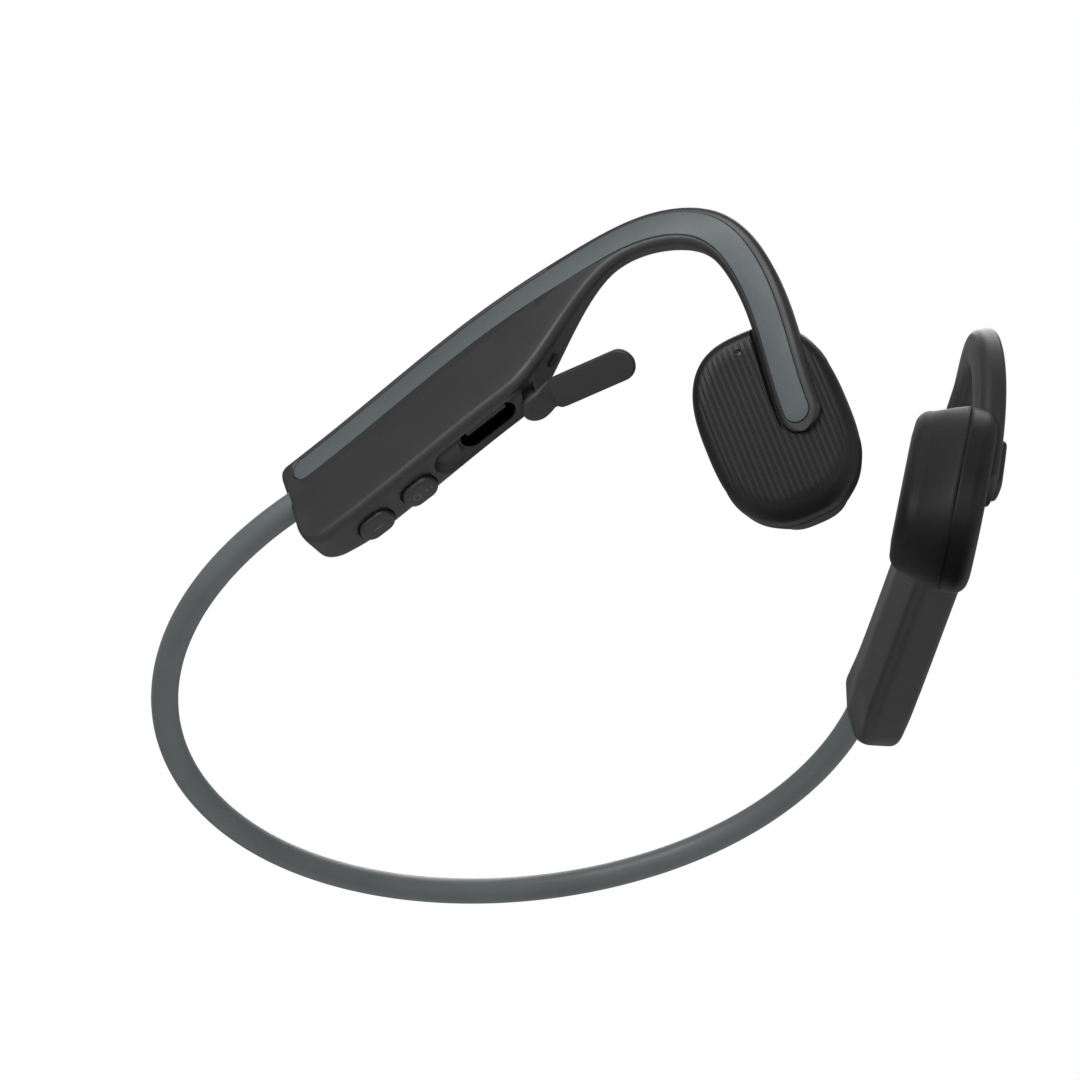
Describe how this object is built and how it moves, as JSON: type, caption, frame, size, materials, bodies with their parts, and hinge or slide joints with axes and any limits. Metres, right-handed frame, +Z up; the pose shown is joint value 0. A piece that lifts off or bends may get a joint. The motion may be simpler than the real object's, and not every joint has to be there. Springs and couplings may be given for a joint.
{
  "type": "bone conduction headphones",
  "caption": "Open-ear headset with a springy neckband, wedge-shaped ear modules, over-ear hooks and ribbed vibrating pods.",
  "frame": {"origin": "in the mid-plane between the ears, level with the point where the neckband enters the two modules", "axes": "+Z up as worn, -Y the way the wearer faces, +Y towards the back of the neckband, -X the wearer's right (volume buttons and charging port), +X the left (battery and multifunction button)"},
  "size_m": [0.1148, 0.1347, 0.0472],
  "materials": {
    "soft_skin": "soft-touch satin black silicone skin",
    "pod_plastic": "fine ribbed satin black",
    "pad_silicone": "smooth soft silicone",
    "gasket_rubber": "dark matte",
    "trim": "dull slate grey satin",
    "button_plastic": "satin black",
    "cover_rubber": "smooth matte black",
    "stem_plastic": "matte black",
    "band_skin": "satin slate grey silicone",
    "spring_wire": "bright titanium alloy wire",
    "cable": "jacketed leads",
    "steel": "bright stamped steel",
    "internal_plastic": "glass filled black plastic",
    "coil_copper": "enamelled copper winding",
    "magnet": "nickel plated magnet",
    "switch": "small metal can",
    "led": "clear lens",
    "board": "green solder mask",
    "battery_wrap": "foil pouch",
    "foam": "charcoal foam",
    "screw_steel": "plain steel"
  },
  "bodies": {
    "headset": {"battery": "battery_wrap", "battery_board": "board", "battery_foam": "foam", "board_screws": "screw_steel", "left_driver_bracket": "internal_plastic", "left_driver_spring": "steel", "left_ear_hook": "soft_skin", "left_hook_leads": "cable", "left_hook_wire": "spring_wire", "left_housing_cover": "soft_skin", "left_housing_shell": "soft_skin", "left_multifunction_switch": "switch", "left_pod_gasket": "gasket_rubber", "left_pod_pad": "pad_silicone", "left_pod_shell": "pod_plastic", "left_trim_strip": "trim", "left_vibration_plate": "internal_plastic", "left_voice_coil": "coil_copper", "main_board": "board", "module_microphone": "switch", "neckband_cable": "cable", "neckband_sleeve": "band_skin", "neckband_wire": "spring_wire", "port_gasket": "gasket_rubber", "radio_shield": "steel", "right_driver_bracket": "internal_plastic", "right_driver_spring": "steel", "right_ear_hook": "soft_skin", "right_hook_leads": "cable", "right_hook_wire": "spring_wire", "right_housing_cover": "soft_skin", "right_housing_shell": "soft_skin", "right_pod_gasket": "gasket_rubber", "right_pod_microphone": "switch", "right_pod_pad": "pad_silicone", "right_pod_shell": "pod_plastic", "right_trim_strip": "trim", "right_vibration_plate": "internal_plastic", "right_voice_coil": "coil_copper", "status_led": "led", "usb_c_receptacle": "steel", "usb_c_tongue": "internal_plastic", "volume_down_switch": "switch", "volume_up_switch": "switch"},
    "cover_stem": {"port_cover_stem": "stem_plastic"},
    "cover_tether": {"port_cover_tether": "cover_rubber"},
    "port_cover": {"charging_port_cover": "cover_rubber"},
    "volume_up": {"volume_up_button": "button_plastic"},
    "volume_down": {"volume_down_button": "button_plastic"},
    "multifunction": {"left_multifunction_button": "button_plastic"},
    "right_driver": {"right_driver_magnet": "magnet", "right_driver_yoke": "steel"},
    "left_driver": {"left_driver_magnet": "magnet", "left_driver_yoke": "steel"}
  },
  "joints": [
    {"name": "port_cover_push_in", "type": "slide", "parent": "headset", "child": "cover_stem", "axis": [-0.0514, 0.1367, 0.9893], "range_m": [0, 0.0026]},
    {"name": "port_cover_swivel", "type": "hinge", "parent": "cover_stem", "child": "cover_tether", "pos_m": [-0.03882, -0.03583, -0.00557], "axis": [0.0514, -0.1367, -0.9893], "range_deg": [0, 174]},
    {"name": "port_cover_bend", "type": "hinge", "parent": "cover_tether", "child": "port_cover", "pos_m": [-0.03815, -0.0383, -0.00721], "axis": [-0.2596, -0.9637, -0.0628], "range_deg": [0, 46.4]},
    {"name": "volume_up_press", "type": "slide", "parent": "headset", "child": "volume_up", "axis": [-0.0514, 0.1367, 0.9893], "range_m": [0, 0.00035], "stiffness_N_per_m": 2000},
    {"name": "volume_down_press", "type": "slide", "parent": "headset", "child": "volume_down", "axis": [-0.0514, 0.1367, 0.9893], "range_m": [0, 0.00035], "stiffness_N_per_m": 2000},
    {"name": "multifunction_press", "type": "slide", "parent": "headset", "child": "multifunction", "axis": [-0.8975, 0.2792, 0.3413], "range_m": [0, 0.0003], "stiffness_N_per_m": 2000},
    {"name": "right_driver_shake", "type": "slide", "parent": "headset", "child": "right_driver", "axis": [-0.7739, -0.4855, -0.4067], "range_m": [-0.0002, 0.0002], "stiffness_N_per_m": 600},
    {"name": "left_driver_shake", "type": "slide", "parent": "headset", "child": "left_driver", "axis": [0.7739, -0.4855, -0.4067], "range_m": [-0.0002, 0.0002], "stiffness_N_per_m": 600}
  ]
}
